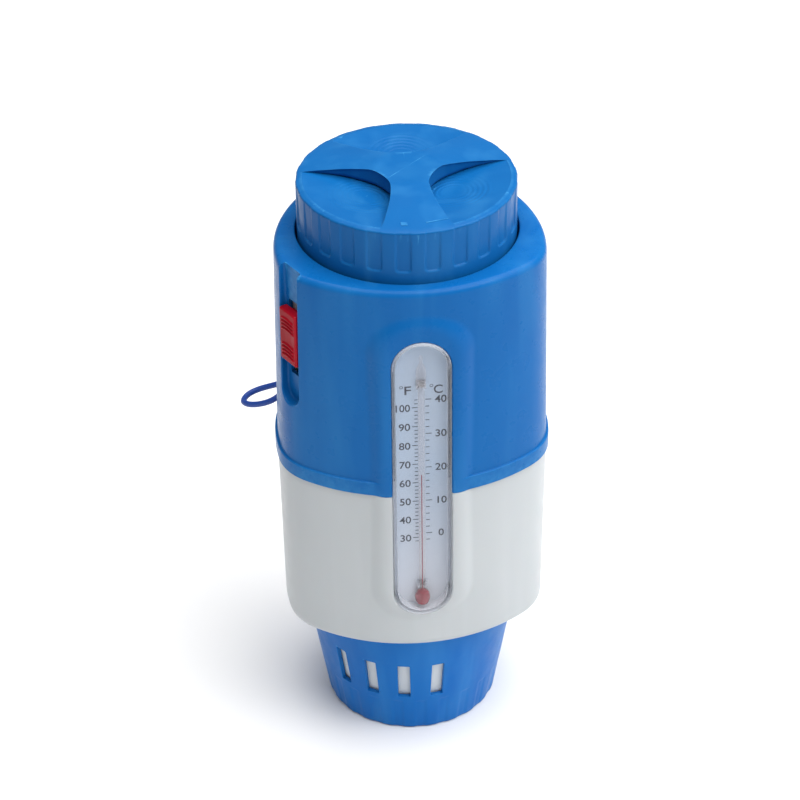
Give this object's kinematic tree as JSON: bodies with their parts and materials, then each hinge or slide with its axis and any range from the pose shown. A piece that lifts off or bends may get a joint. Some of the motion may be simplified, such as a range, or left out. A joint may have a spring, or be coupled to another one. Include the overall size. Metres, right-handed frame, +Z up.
{
  "type": "floating chlorine dispenser",
  "caption": "Floating pool tablet dispenser with a sealed three-sided float, screw cap, slide lock, thermometer and turning slotted basket.",
  "frame": {"origin": "middle of the basket's flat base, on the tube's axis", "axes": "+Z up along the tube's axis, -Y towards the thermometer, +X to its right"},
  "size_m": [0.1486, 0.1363, 0.3066],
  "materials": {
    "blue": "moulded gloss, light wear",
    "shell_white": "moulded satin gloss",
    "part_white": "moulded natural white",
    "red": "moulded satin",
    "gasket": "matte",
    "steel": "satin",
    "clear": "clear polycarbonate",
    "glass": "clear glass",
    "card": "printed card",
    "spirit": "dyed spirit",
    "cord": "braided cord"
  },
  "bodies": {
    "float": {"top_shell": "blue", "bottom_shell": "shell_white", "shell_gasket": "gasket", "feed_tube": "part_white", "neck_gasket": "gasket", "inner_cage": "part_white", "cage_gasket": "gasket", "lock_housing": "part_white", "detent_spring": "steel", "thermometer_lens": "clear", "lens_gasket": "gasket", "scale_card": "card", "thermometer_tube": "glass", "thermometer_spirit": "spirit", "tube_clips": "part_white", "tether_cord": "cord", "tether_crimp": "steel"},
    "basket": {"dosing_basket": "blue", "basket_washer": "steel", "basket_screw": "steel"},
    "cap_seal": {"cap_gasket": "gasket"},
    "cap": {"cap": "blue"},
    "lock": {"lock_slider": "red", "lock_bolt": "part_white", "lock_screw": "steel"}
  },
  "joints": [
    {"name": "basket_turn", "type": "hinge", "parent": "float", "child": "basket", "pos_m": [0, 0, 0], "axis": [0, 0, 1], "range_deg": [0, 80]},
    {"name": "cap_rise", "type": "slide", "parent": "float", "child": "cap_seal", "axis": [0, 0, 1], "range_m": [0, 0.042]},
    {"name": "cap_turn", "type": "hinge", "parent": "cap_seal", "child": "cap", "pos_m": [0, 0, 0], "axis": [0, 0, 1], "range_deg": [0, 1260]},
    {"name": "lock_slide", "type": "slide", "parent": "float", "child": "lock", "axis": [0, 0, 1], "range_m": [-0.008, 0.004]}
  ],
  "couplings": [
    {"joint": "cap_rise", "follows": "cap_turn", "m_per_rad": 0.0019099}
  ]
}
